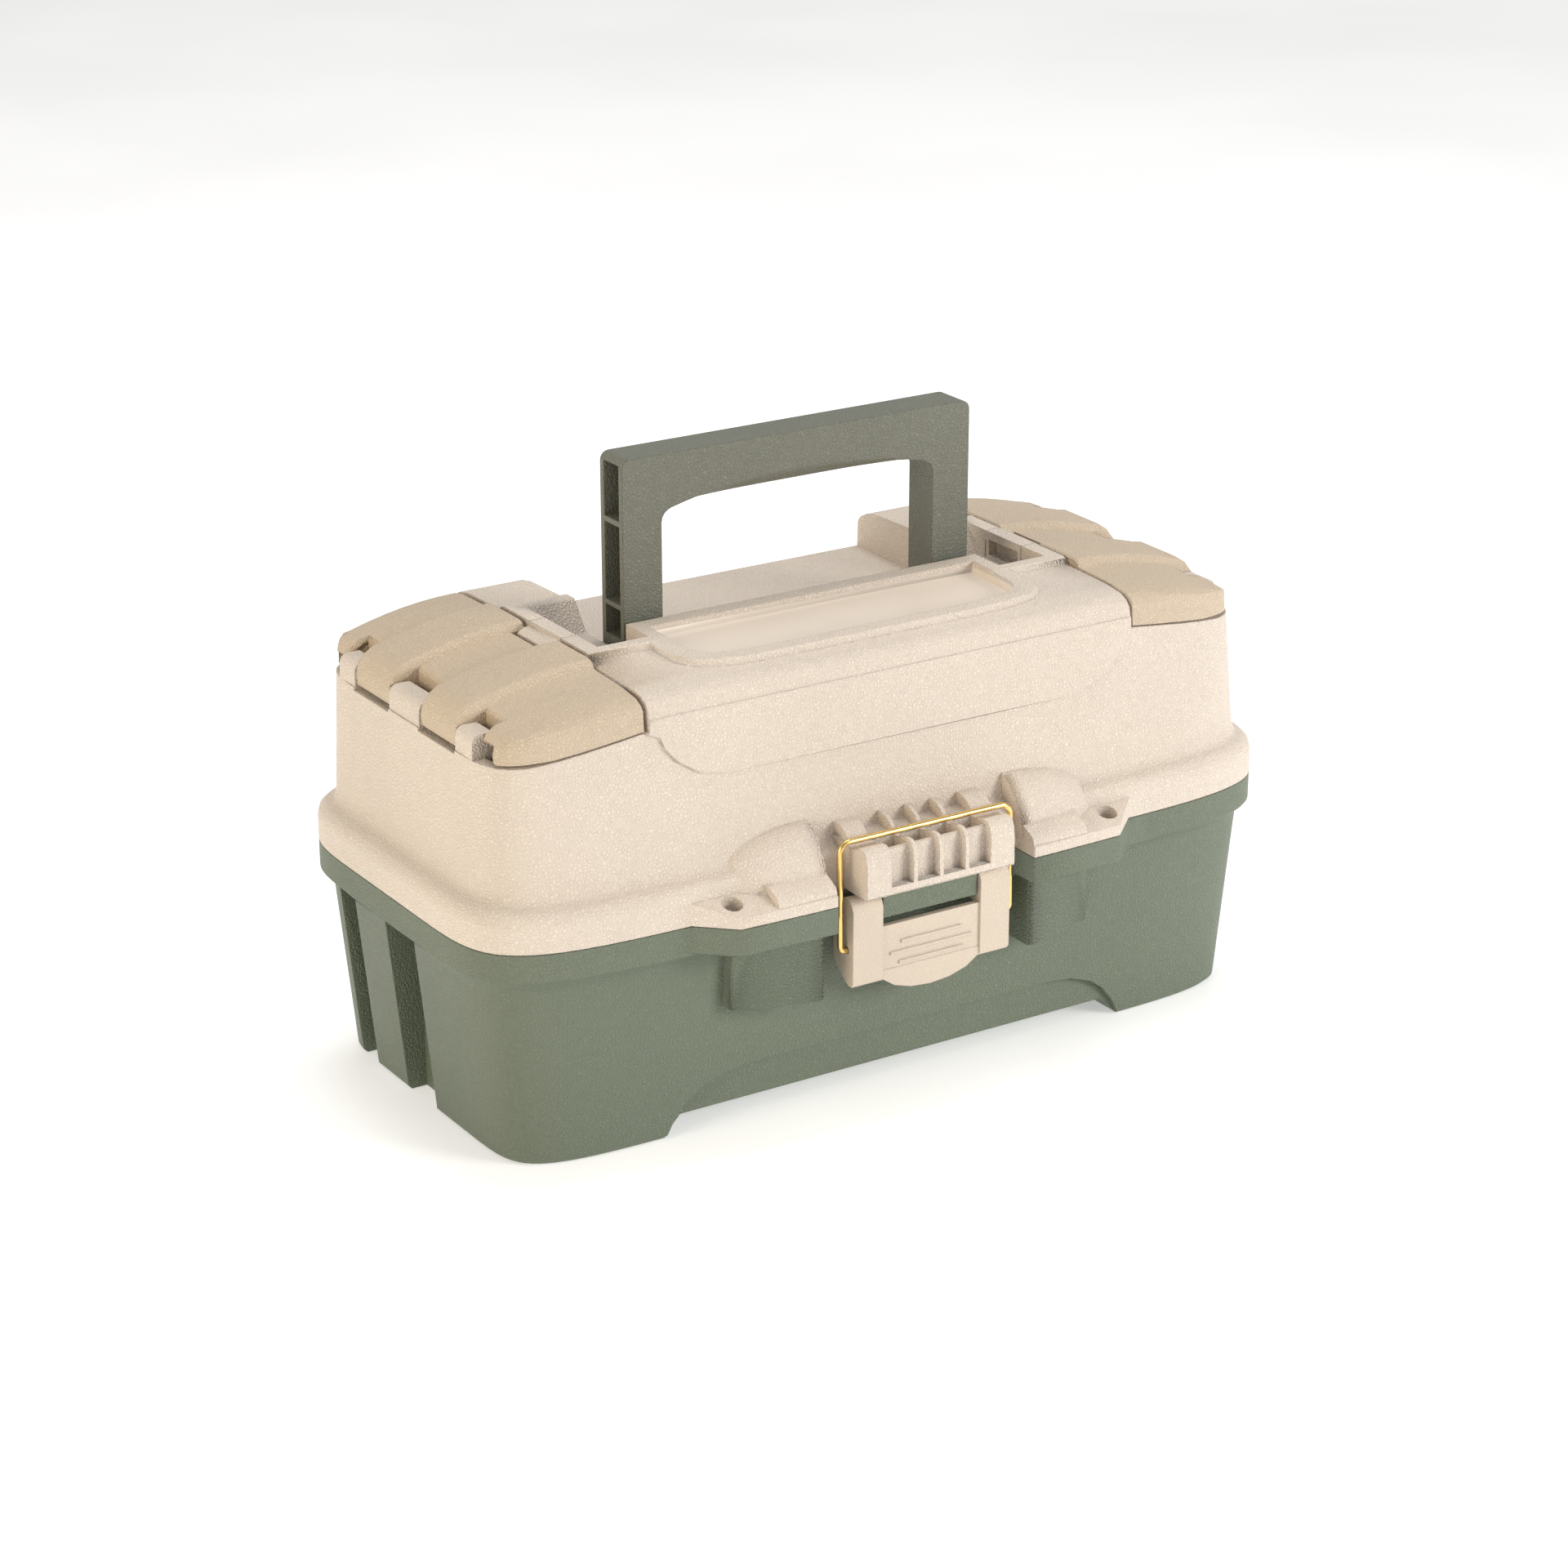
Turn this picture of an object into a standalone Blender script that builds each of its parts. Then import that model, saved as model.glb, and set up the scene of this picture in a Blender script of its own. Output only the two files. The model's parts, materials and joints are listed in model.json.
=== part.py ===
"""Fishing tackle box: a base, a hinged lid with two covered end bins, a folding handle,
a draw latch with a wire bail, and one cantilever tray carried on parallel arms.

Lengths below are in millimetres. They become metres where a mesh is made.
X runs along the box, the latch is at -Y, and Z is up from the feet.
"""
import math

import bmesh
import bpy
from mathutils import Matrix, Vector

MM = 0.001
GAP = 0.3                      # least gap between neighbouring pieces
CURVE_POINTS = 96              # points round the plan outlines

# Whole box
RIM_HALF_LENGTH = 185.0
RIM_HALF_DEPTH = 89.2
RIM_POWER = 6.7                # superellipse power: the sides are slightly bowed
SEAM_Z = 91.2
WALL = 3.0

# Base: (z, half length, half depth, power) from the feet up
BASE_RINGS = (
    (0.0, 170.2, 77.3, 9.2),
    (1.5, 171.6, 78.7, 9.2),
    (5.0, 171.96, 78.9, 9.15),
    (72.0, 178.9, 82.8, 8.05),
    (75.8, 179.4, 83.1, 8.0),
    (78.8, 183.6, 88.2, 6.9),
    (80.0, 185.0, 89.2, 6.7),
    (SEAM_Z + 3.0, 185.0, 89.2, 6.7),
)
BASE_CAVITY_RINGS = (
    (3.0, 168.0, 75.0, 9.0),
    (76.0, 175.0, 80.0, 8.0),
    (SEAM_Z + 6.0, 175.6, 80.4, 7.6),
)
FOOT_INNER_X = 108.5
ARCH_TOP_Z = 23.8
RAISED_FLOOR_Z = 8.0
FLUTES_Y = ((-10.0, 14.0), (40.0, 54.0))
FLUTE_TOP_Z = 74.0
FLUTE_INNER_X = 163.5
BULGE_OUTLINE = ((-104.0, -80.0), (-103.2, -88.3), (-88.4, -102.0), (-70.5, -102.6),
                 (-46.0, -103.2), (-45.5, -80.0))
BULGE_BOTTOM_Z = 80.4
HOOD_RIM_X = (45.9, 72.0)
HOOD_RIM_PROFILE = ((-80.0, 90.6), (-102.4, 90.6), (-102.4, 96.8), (-101.5, 98.8), (-99.3, 100.2),
                    (-95.0, 102.2), (-80.0, 103.6))
TIE_HOLE = (87.6, -93.8, 4.2)  # x, y, radius
PAD_PROFILE = ((-70.0, 80.0), (-110.0, 80.0), (-110.0, 93.6), (-88.0, 100.8), (-70.0, 101.2))
PILASTER_OUTLINE = ((-84.2, -80.0), (-84.0, -86.6), (-83.2, -87.4), (-76.0, -90.4), (-66.0, -93.8),
                    (-56.0, -96.4), (-50.2, -97.4), (-48.6, -97.0), (-48.0, -95.6), (-47.8, -80.0))
PILASTER_Z = (51.4, 82.0)

# Lid: (z, half length, half depth, power, centre y), from just below the seam up
LID_BOTTOM_Z = SEAM_Z + GAP
SEAM_CUT = 3.0                 # how far blanks run past the seam before they are trimmed to it
LID_RINGS = (
    (LID_BOTTOM_Z - SEAM_CUT, 185.0, 89.2, 6.7, 0.0),
    (101.5, 185.0, 89.2, 6.7, 0.0),
    (104.8, 184.3, 88.5, 6.7, 0.0),
    (107.0, 182.2, 86.4, 6.8, 0.0),
    (107.9, 179.6, 83.8, 7.2, 0.0),
    (109.4, 177.9, 82.0, 7.8, 0.1),
    (112.0, 177.0, 81.1, 8.0, 0.3),
    (115.0, 176.7, 80.8, 8.1, 0.5),
    (157.0, 173.6, 77.6, 9.4, 2.5),
    (160.0, 173.4, 77.4, 9.5, 2.6),
    (167.0, 172.8, 77.0, 9.5, 3.0),
    (188.0, 171.4, 75.4, 9.5, 3.2),
)
LID_CAVITY_RINGS = (
    (LID_BOTTOM_Z - 2.0 * SEAM_CUT, 175.0, 79.6, 7.6, 0.0),
    (107.0, 174.0, 78.4, 7.8, 0.3),
    (161.0, 169.8, 73.9, 9.5, 2.6),
)
CROWN_PROFILE = ((-130.0, 60.0), (-130.0, 171.0), (-74.4, 171.0), (-73.6, 174.6), (-71.4, 177.2),
                 (-67.6, 178.9), (-58.0, 180.1), (-31.3, 181.0), (-30.0, 183.4), (-28.6, 184.0),
                 (36.4, 184.0), (38.4, 183.4), (40.4, 182.0), (66.0, 181.2), (73.0, 179.8),
                 (77.6, 177.5), (80.3, 174.2), (81.4, 171.0), (130.0, 171.0), (130.0, 60.0))
TOP_Z = 184.0
PANEL_X = 111.3                # half width of the lid's middle part
PANEL_PROUD = 1.3
PANEL_EDGE = ((107.0, 163.4), (105.4, 159.0), (100.6, 153.4), (91.0, 147.2),
              (80.0, 144.8), (40.0, 144.6))
COVER_SEAT = ((111.3, 166.2), (160.0, 160.2), (190.0, 159.4))   # x, z of the wall's top
BIN_FLOOR_Z = 137.0
BIN_INNER_X = 115.0
BIN_OUTER = (169.8, 73.6)
VALLEY_X = 83.0
VALLEY_FRONT_Y = -8.0
VALLEY_FLOOR_Z = 164.0
TROUGH_X = 104.5
TROUGH_PROFILE = ((-27.0, 186.0), (-24.0, 183.2), (-15.5, 173.0), (-12.5, 172.2), (19.0, 172.2),
                  (22.0, 173.0), (30.0, 183.2), (33.0, 186.0))
LABEL_CENTRE_Y = -22.0
LABEL_PAD = (84.5, 39.5)       # half width, reach to the front
LABEL_WELL = (77.0, 33.5)
LABEL_POWER = 6.0
LABEL_DEPTH = 4.4
SNAP_Y = (-8.9, 16.1)

# Hinge at the rear
HINGE_Y = 94.5
HINGE_Z = SEAM_Z
HINGE_X = 105.0
KNUCKLE_RADIUS = 4.7
HINGE_PIN_RADIUS = 1.5
KNUCKLES_BASE = ((-26.0, -13.0), (13.0, 26.0))   # from the hinge's middle
KNUCKLE_LID = (-12.5, 12.5)

# Latch
LEVER_Y = -94.5
LEVER_Z = 85.5
LEVER_HALF = 36.7
LEVER_WINDOW = 22.9
LEVER_PIN_RADIUS = 1.9
BOSS_HALF = 21.9
BAIL_Y = -95.2
BAIL_Z = 68.5
BAIL_HALF = 39.7
BAIL_TOP = (-94.4, 113.0)
BAIL_RADIUS = 1.2
CATCH_HALF = 34.3
CATCH_FRONT_Y = -105.6

# Handle
HANDLE_HALF = 80.7
HANDLE_LEG = 17.4
HANDLE_Y = (-4.2, 12.4)
HANDLE_TOP_Z = 248.2
HANDLE_BOTTOM_Z = 164.6
GRIP_BOTTOM_Z = 226.2
GRIP_SCOOP = 7.4               # how far the bar's lower edges arch up at the middle
HANDLE_PIVOT = (9.0, 168.0)    # y, z
HANDLE_PIN_RADIUS = 2.2

# Covers
COVER_INNER_X = 113.0
COVER_AXIS = (166.5, 165.5)    # x, z
COVER_ROD_RADIUS = 2.6
RIDGES_Y = ((-36.9, -9.3), (16.5, 44.1))
TABS_Y = ((-50.6, -37.6), (-8.6, 15.8), (44.8, 57.8))
COVER_THICK = 2.7

# Tray and its parallel arms
TRAY_HALF = 157.5
TRAY_Y = (-72.0, 50.0)
TRAY_Z = (50.5, 88.0)
TRAY_WALL = 2.0
TRAY_PIVOT = (24.5, 95.2)      # y, z of the pivot on the lid
ARM_OFFSET = (-30.0, -11.0)    # from the lid's hinge to the arm's pivot on the base
ARM_X = (158.5, 160.5)
ARM_HALF_WIDTH = 4.5
RIVET_RADIUS = 1.6
RIVET_HEAD = 3.0
DIVIDERS_X = (-94.0, -31.0, 31.0, 94.0)
RIB_Y = -11.0

# The box's own middle lies this far behind the middle of its bounding box
BODY_SHIFT_Y = (-CATCH_FRONT_Y - (HINGE_Y + KNUCKLE_RADIUS)) / 2

ARM_BASE = (HINGE_Y + ARM_OFFSET[0], HINGE_Z + ARM_OFFSET[1])
ARM_TRAY = (TRAY_PIVOT[0] + ARM_OFFSET[0], TRAY_PIVOT[1] + ARM_OFFSET[1])


# ---------------------------------------------------------------- mesh tools

def clear_scene():
    for old in list(bpy.data.objects):
        bpy.data.objects.remove(old)


def loft(name, rings):
    """A closed solid through rings of points (mm), capped at both ends."""
    bm = bmesh.new()
    loops = [[bm.verts.new(Vector(point) * MM) for point in ring] for ring in rings]
    bm.faces.new(list(reversed(loops[0])))
    bm.faces.new(loops[-1])
    for low, high in zip(loops, loops[1:]):
        count = len(low)
        for i in range(count):
            j = (i + 1) % count
            bm.faces.new((low[i], low[j], high[j], high[i]))
    bmesh.ops.recalc_face_normals(bm, faces=bm.faces[:])
    mesh = bpy.data.meshes.new(name)
    bm.to_mesh(mesh)
    bm.free()
    part = bpy.data.objects.new(name, mesh)
    bpy.context.collection.objects.link(part)
    return part


def prism(name, axis, outline, low, high):
    """An outline pushed along an axis. It lists the two other coordinates in X, Y, Z order."""
    place = {"X": lambda u, v, w: (w, u, v),
             "Y": lambda u, v, w: (u, w, v),
             "Z": lambda u, v, w: (u, v, w)}[axis]
    return loft(name, [[place(u, v, w) for u, v in outline] for w in (low, high)])


def box(name, low, high):
    outline = ((low[0], low[1]), (high[0], low[1]), (high[0], high[1]), (low[0], high[1]))
    return prism(name, "Z", outline, low[2], high[2])


def circle(centre, radius, count=20, start=0.0, turn=360.0):
    """Points on a circle or on an arc, whose last point is kept only if it is not a full turn."""
    steps = count if turn == 360.0 else count - 1
    angles = [math.radians(start + turn * i / steps) for i in range(count)]
    return [(centre[0] + radius * math.cos(a), centre[1] + radius * math.sin(a)) for a in angles]


def rod(name, axis, centre, radius, low, high, count=20):
    return prism(name, axis, circle(centre, radius, count), low, high)


def turned(name, centre, stations, count=16):
    """A round piece along X: stations are (x, radius) and centre is (y, z)."""
    return loft(name, [[(x, y, z) for y, z in circle(centre, radius, count)]
                       for x, radius in stations])


def superellipse(half_x, half_y, power, z, centre_y=0.0, count=CURVE_POINTS):
    ring = []
    for i in range(count):
        angle = 2 * math.pi * i / count
        cos_a = math.cos(angle)
        sin_a = math.sin(angle)
        x = half_x * math.copysign(abs(cos_a) ** (2 / power), cos_a)
        y = half_y * math.copysign(abs(sin_a) ** (2 / power), sin_a)
        ring.append((x, y + centre_y, z))
    return ring


def ring_loft(name, rings, grow=0.0):
    """A loft through (z, half length, half depth, power[, centre y]) rings."""
    outlines = []
    for ring in rings:
        centre_y = ring[4] if len(ring) > 4 else 0.0
        outlines.append(superellipse(ring[1] + grow, ring[2] + grow, ring[3], ring[0], centre_y))
    return loft(name, outlines)


def bake(part):
    """Apply the object's modifiers to its mesh."""
    bpy.context.view_layer.update()
    evaluated = part.evaluated_get(bpy.context.evaluated_depsgraph_get())
    mesh = bpy.data.meshes.new_from_object(evaluated)
    old = part.data
    part.modifiers.clear()
    part.data = mesh
    bpy.data.meshes.remove(old)


def combine(part, others, operation):
    for other in others:
        modifier = part.modifiers.new(operation, "BOOLEAN")
        modifier.operation = operation
        modifier.solver = "EXACT"
        modifier.object = other
        bake(part)
        bpy.data.objects.remove(other)
    return part


def cut(part, *others):
    return combine(part, others, "DIFFERENCE")


def join(part, *others):
    return combine(part, others, "UNION")


def keep(part, *others):
    return combine(part, others, "INTERSECT")


def mirrored(outline):
    """The outline reflected in x."""
    return tuple((-x, y) for x, y in outline)


def material(name, colour, roughness, metallic=0.0):
    made = bpy.data.materials.new(name)
    made.use_nodes = True
    shader = made.node_tree.nodes["Principled BSDF"]
    shader.inputs["Base Color"].default_value = (*colour, 1.0)
    shader.inputs["Roughness"].default_value = roughness
    shader.inputs["Metallic"].default_value = metallic
    made.diffuse_color = (*colour, 1.0)
    return made


def finish(part, name, look, pivot=(0.0, 0.0, 0.0)):
    """Name the piece, put its origin on its pivot (mm) and shift it into the final frame."""
    part.name = name
    part.data.name = name
    origin = Vector(pivot) * MM
    part.data.transform(Matrix.Translation(-origin))
    part.location = origin + Vector((0.0, BODY_SHIFT_Y, 0.0)) * MM
    part.data.materials.clear()
    part.data.materials.append(look)
    part.data.shade_smooth()
    part.data.set_sharp_from_angle(angle=math.radians(32.0))
    return part


# ---------------------------------------------------------------------- base

def arch_outline():
    """Front view of the shallow recess between the feet."""
    side = [(FOOT_INNER_X, 0.0), (105.0, 7.0), (100.0, 13.5), (93.0, 18.8), (83.0, 22.4), (71.0, ARCH_TOP_Z)]
    left = [(-x, z) for x, z in reversed(side)]
    return [(FOOT_INNER_X, -2.0)] + side + left + [(-FOOT_INNER_X, -2.0)]


def flute_cutters(grow):
    """The slots in both ends, grown by a wall thickness where they shape the inside."""
    cutters = []
    for side in (-1, 1):
        for low_y, high_y in FLUTES_Y:
            ends = sorted((side * (FLUTE_INNER_X - grow), side * 200.0))
            low = (ends[0], low_y - grow, -5.0)
            high = (ends[1], high_y + grow, FLUTE_TOP_Z + grow)
            cutters.append(box("flute", low, high))
    return cutters


def base_cavity():
    cavity = ring_loft("cavity", BASE_CAVITY_RINGS)
    raised = RAISED_FLOOR_Z + WALL
    floor = box("floor", (-FOOT_INNER_X - WALL, -100.0, -1.0), (FOOT_INNER_X + WALL, 100.0, raised))
    front = box("front", (-FOOT_INNER_X, -100.0, -1.0), (FOOT_INNER_X, -73.6, ARCH_TOP_Z + WALL))
    rear = box("rear", (-FOOT_INNER_X, 73.6, -1.0), (FOOT_INNER_X, 100.0, ARCH_TOP_Z + WALL))
    return cut(cavity, floor, front, rear, *flute_cutters(WALL - 0.5))


def base_front_details():
    """Pilasters, the widened rim beside the latch, and the boss that carries the latch lever."""
    details = [box("boss", (-BOSS_HALF, -98.0, 79.6), (BOSS_HALF, -84.0, SEAM_Z + 2.0))]
    for outline in (PILASTER_OUTLINE, mirrored(PILASTER_OUTLINE)):
        details.append(prism("pilaster", "Z", outline, *PILASTER_Z))
    for outline in (BULGE_OUTLINE, mirrored(BULGE_OUTLINE)):
        details.append(prism("bulge", "Z", outline, BULGE_BOTTOM_Z, SEAM_Z + 2.0))
    return details


def seam_trim(low, high):
    """Everything between two heights, to trim a blank flat at the seam."""
    return box("trim", (-250.0, -150.0, low), (250.0, 150.0, high))


def hinge_knuckles(spans, web_z):
    """Rear knuckles of both hinges, with a web to the rim."""
    pieces = []
    for middle in (-HINGE_X, HINGE_X):
        for low, high in spans:
            barrel = rod("knuckle", "X", (HINGE_Y, HINGE_Z), KNUCKLE_RADIUS, middle + low, middle + high)
            web = box("web", (middle + low, 84.0, web_z[0]), (middle + high, HINGE_Y, web_z[1]))
            pieces.append(join(barrel, web))
    return pieces


def hinge_bores():
    return [rod("bore", "X", (HINGE_Y, HINGE_Z), HINGE_PIN_RADIUS + GAP, middle - 30.0, middle + 30.0)
            for middle in (-HINGE_X, HINGE_X)]


def make_base(look):
    base = ring_loft("base", BASE_RINGS)
    join(base, *base_front_details())
    channel = prism("channel", "Y", ((-FOOT_INNER_X, -2.0), (-FOOT_INNER_X, 0.0), (-101.0, RAISED_FLOOR_Z),
                                     (101.0, RAISED_FLOOR_Z), (FOOT_INNER_X, 0.0), (FOOT_INNER_X, -2.0)),
                    -120.0, 120.0)
    front_arch = prism("arch", "Y", arch_outline(), -120.0, -76.6)
    rear_arch = prism("arch", "Y", arch_outline(), 76.6, 120.0)
    cut(base, channel, front_arch, rear_arch, *flute_cutters(0.0))
    cut(base, base_cavity(), seam_trim(SEAM_Z, SEAM_Z + 20.0))
    join(base, *hinge_knuckles(KNUCKLES_BASE, (84.0, SEAM_Z - 0.4)))
    for side in (-1, 1):
        ends = sorted((side * (ARM_X[1] + 0.9), side * 173.5))
        join(base, rod("lug", "X", ARM_BASE, 5.5, *ends))
        bore_ends = sorted((side * 150.0, side * 170.0))
        tie_x = side * TIE_HOLE[0]
        cut(base,
            rod("rivet_bore", "X", ARM_BASE, RIVET_RADIUS + GAP, *bore_ends),
            rod("tie_hole", "Z", (tie_x, TIE_HOLE[1]), TIE_HOLE[2], 60.0, 120.0))
    cut(base, *hinge_bores())
    cut(base, rod("lever_bore", "X", (LEVER_Y, LEVER_Z), LEVER_PIN_RADIUS + GAP, -30.0, 30.0))
    return finish(base, "base", look)


# ----------------------------------------------------------------------- lid

def seat_cutter(side):
    """Everything above the end wall's top, where a cover sits."""
    outline = [(side * x, z) for x, z in COVER_SEAT]
    outline += [(side * COVER_SEAT[-1][0], 220.0), (side * COVER_SEAT[0][0], 220.0)]
    return prism("seat", "Y", outline, -150.0, 150.0)


def bin_cutter(side):
    rings = ((BIN_FLOOR_Z, BIN_OUTER[0] - 1.6, BIN_OUTER[1] - 1.2, 9.5, 2.4),
             (200.0, BIN_OUTER[0], BIN_OUTER[1], 9.5, 2.8))
    ends = sorted((side * BIN_INNER_X, side * 200.0))
    return keep(ring_loft("bin", rings), box("half", (ends[0], -150.0, 100.0), (ends[1], 150.0, 230.0)))


def lid_cavity():
    cavity = ring_loft("cavity", LID_CAVITY_RINGS)
    for side in (-1, 1):
        ends = sorted((side * (BIN_INNER_X - WALL), side * 220.0))
        cut(cavity, box("bin_shell", (ends[0], -150.0, BIN_FLOOR_Z - WALL), (ends[1], 150.0, 220.0)))
    platform = prism("platform", "X", ((-70.4, 155.0), (-69.4, 171.6), (-66.0, 173.0), (-12.0, 175.0),
                                       (-12.0, 155.0)), -106.0, 106.0)
    return join(cavity, platform)


def wall_panel():
    """The raised middle panel of the front wall, bounded below by an S-shaped edge."""
    edge = [(PANEL_X + 4.0, 210.0), (PANEL_X + 4.0, 167.2)] + list(PANEL_EDGE)
    outline = edge + [(-x, z) for x, z in reversed(edge)]
    grown = [(z, a, b + PANEL_PROUD, power, y) for z, a, b, power, y in LID_RINGS[6:]]
    return keep(ring_loft("panel", grown), prism("window", "Y", outline, -120.0, -60.0))


def hood_sections(side):
    """The domed hood beside the latch: sections along X, each (y, z) from the wall outwards."""
    rows = ((45.6, 0.0, 119.6), (52.0, 0.1, 119.4), (60.0, 0.4, 118.8), (68.0, 1.2, 117.4),
            (75.0, 2.6, 115.2), (80.0, 4.4, 112.6), (83.4, 6.8, 109.4), (85.0, 9.6, 105.6))
    sections = []
    for x, back, top in rows:
        foot_y, foot_z = -94.8 + back, 101.2
        wall_y = -80.6 + 0.25 * back
        arc = []
        for degrees in (0, 15, 30, 45, 60, 75, 90):
            angle = math.radians(degrees)
            arc.append((wall_y + (foot_y - wall_y) * math.cos(angle) ** 1.42,
                        foot_z + (top - foot_z) * math.sin(angle) ** 1.42))
        profile = [(-76.0, 96.0), (foot_y - 0.4, 96.0)] + arc + [(-76.0, top)]
        sections.append([(side * x, y, z) for y, z in profile])
    return sections


def label_outline(half_x, reach, z_of_y, rear_y, scale=0.0):
    """A D-shaped outline in plan, straight at the rear, with its height from z_of_y."""
    points = []
    steps = 22
    for i in range(steps + 1):
        angle = math.pi * i / steps
        x = (half_x + scale) * math.copysign(abs(math.cos(angle)) ** (2 / LABEL_POWER), math.cos(angle))
        y = LABEL_CENTRE_Y - (reach + scale) * math.sin(angle) ** (2 / LABEL_POWER)
        points.append((x, y, z_of_y(y)))
    points.append((-half_x - scale, rear_y, z_of_y(rear_y)))
    points.append((half_x + scale, rear_y, z_of_y(rear_y)))
    return points


def pad_top(y):
    """Height of the label pad: level with the platform, then sloping to the front."""
    return TOP_Z - 0.05 * max(0.0, -29.0 - y)


def label_pad():
    low = label_outline(*LABEL_PAD, lambda y: 172.0, -12.0, 2.4)
    high = label_outline(*LABEL_PAD, pad_top, -12.0, -1.0)
    middle = label_outline(*LABEL_PAD, lambda y: pad_top(y) - 1.2, -12.0, 0.2)
    return loft("pad", [low, middle, high])


def label_well():
    floor = label_outline(*LABEL_WELL, lambda y: pad_top(y) - LABEL_DEPTH, -15.0, -1.6)
    mouth = label_outline(*LABEL_WELL, lambda y: 192.0, -15.0, 0.8)
    return loft("well", [floor, mouth])


def catch_block():
    """The lid's half of the latch: a ribbed lip that the bail hooks over, and ribs behind it."""
    catch = prism("catch", "X", ((-80.0, 91.9), (CATCH_FRONT_Y + 0.3, 91.9), (CATCH_FRONT_Y, 93.0),
                                 (CATCH_FRONT_Y + 0.1, 103.0), (-105.0, 107.6), (-103.8, 110.4),
                                 (-101.8, 111.5), (-98.8, 111.4), (-97.2, 110.2), (-91.4, 110.2),
                                 (-80.0, 111.6)), -CATCH_HALF, CATCH_HALF)
    for middle in (-18.0, -6.0, 6.0, 18.0):
        low_x, high_x = middle - 5.1, middle + 5.1
        cut(catch,
            box("pocket", (low_x, -120.0, 95.2), (high_x, CATCH_FRONT_Y + 4.2, 130.0)),
            box("lip", (low_x, -110.0, 109.6), (high_x, -99.0, 131.0)),
            box("groove", (low_x, -99.9, 104.6), (high_x, -91.3, 132.0)))
    rear_profile = ((-78.0, 105.0), (-91.0, 105.0), (-91.0, 110.8), (-88.6, 113.8), (-85.6, 115.6),
                    (-83.0, 116.2), (-78.0, 116.4))
    spans = ((-33.4, -24.0), (24.0, 33.4), (-12.9, -11.1), (-0.9, 0.9), (11.1, 12.9))
    return join(catch, *[prism("rib", "X", rear_profile, low, high) for low, high in spans])


def snap_nose(side):
    """The nose on the flexible strip that holds the cover shut."""
    outline = [(side * x, z) for x, z in ((110.0, 174.4), (116.2, 174.4), (117.8, 176.4), (117.4, 180.6),
                                          (115.0, 182.2), (110.0, 182.8))]
    return prism("nose", "Y", outline, SNAP_Y[0] + 1.6, SNAP_Y[1] - 1.6)


def end_tabs(side):
    """Tabs on the end wall that carry the cover's hinge rod, and the rod."""
    outline = [(side * x, z) for x, z in ((173.1, 150.0), (172.8, 166.4), (171.9, 168.4), (170.0, 169.5),
                                          (164.0, 169.5), (162.8, 168.6), (162.4, 167.0), (162.4, 162.0),
                                          (168.4, 155.0), (168.6, 150.0))]
    rod_ends = (TABS_Y[0][0] + 3.0, TABS_Y[-1][1] - 3.0)
    pieces = [prism("tab", "Y", outline, low, high) for low, high in TABS_Y]
    centre = (side * COVER_AXIS[0], COVER_AXIS[1])
    return pieces + [rod("rod", "Y", centre, COVER_ROD_RADIUS, *rod_ends)]


def lid_top_cutters():
    valley = prism("valley", "X", ((VALLEY_FRONT_Y, 200.0), (VALLEY_FRONT_Y + 0.4, 166.0),
                                   (VALLEY_FRONT_Y + 2.0, VALLEY_FLOOR_Z), (130.0, VALLEY_FLOOR_Z),
                                   (130.0, 200.0)), -VALLEY_X, VALLEY_X)
    cutters = [valley]
    for side in (-1, 1):
        ends = sorted((side * (VALLEY_X - 1.0), side * TROUGH_X))
        cutters.append(prism("trough", "X", TROUGH_PROFILE, *ends))
        window = sorted((side * 102.0, side * 108.4))
        cutters.append(box("snap_window", (window[0], -6.6, 174.0), (window[1], 13.8, 180.6)))
        slit = sorted((side * 103.0, side * 113.0))
        for y in SNAP_Y:
            cutters.append(box("slit", (slit[0], y - 0.35, 172.6), (slit[1], y + 0.35, 190.0)))
    return cutters


def lid_flange_details():
    details = []
    for side in (-1, 1):
        pad = BULGE_OUTLINE if side < 0 else mirrored(BULGE_OUTLINE)
        rim_x = sorted(side * x for x in HOOD_RIM_X)
        slope = prism("slope", "X", PAD_PROFILE, -130.0, 130.0)
        details.append(keep(prism("pad", "Z", pad, LID_BOTTOM_Z - 1.0, 106.0), slope))
        details.append(prism("hood_rim", "X", HOOD_RIM_PROFILE, *rim_x))
        details.append(loft("hood", hood_sections(side)))
    return details


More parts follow.
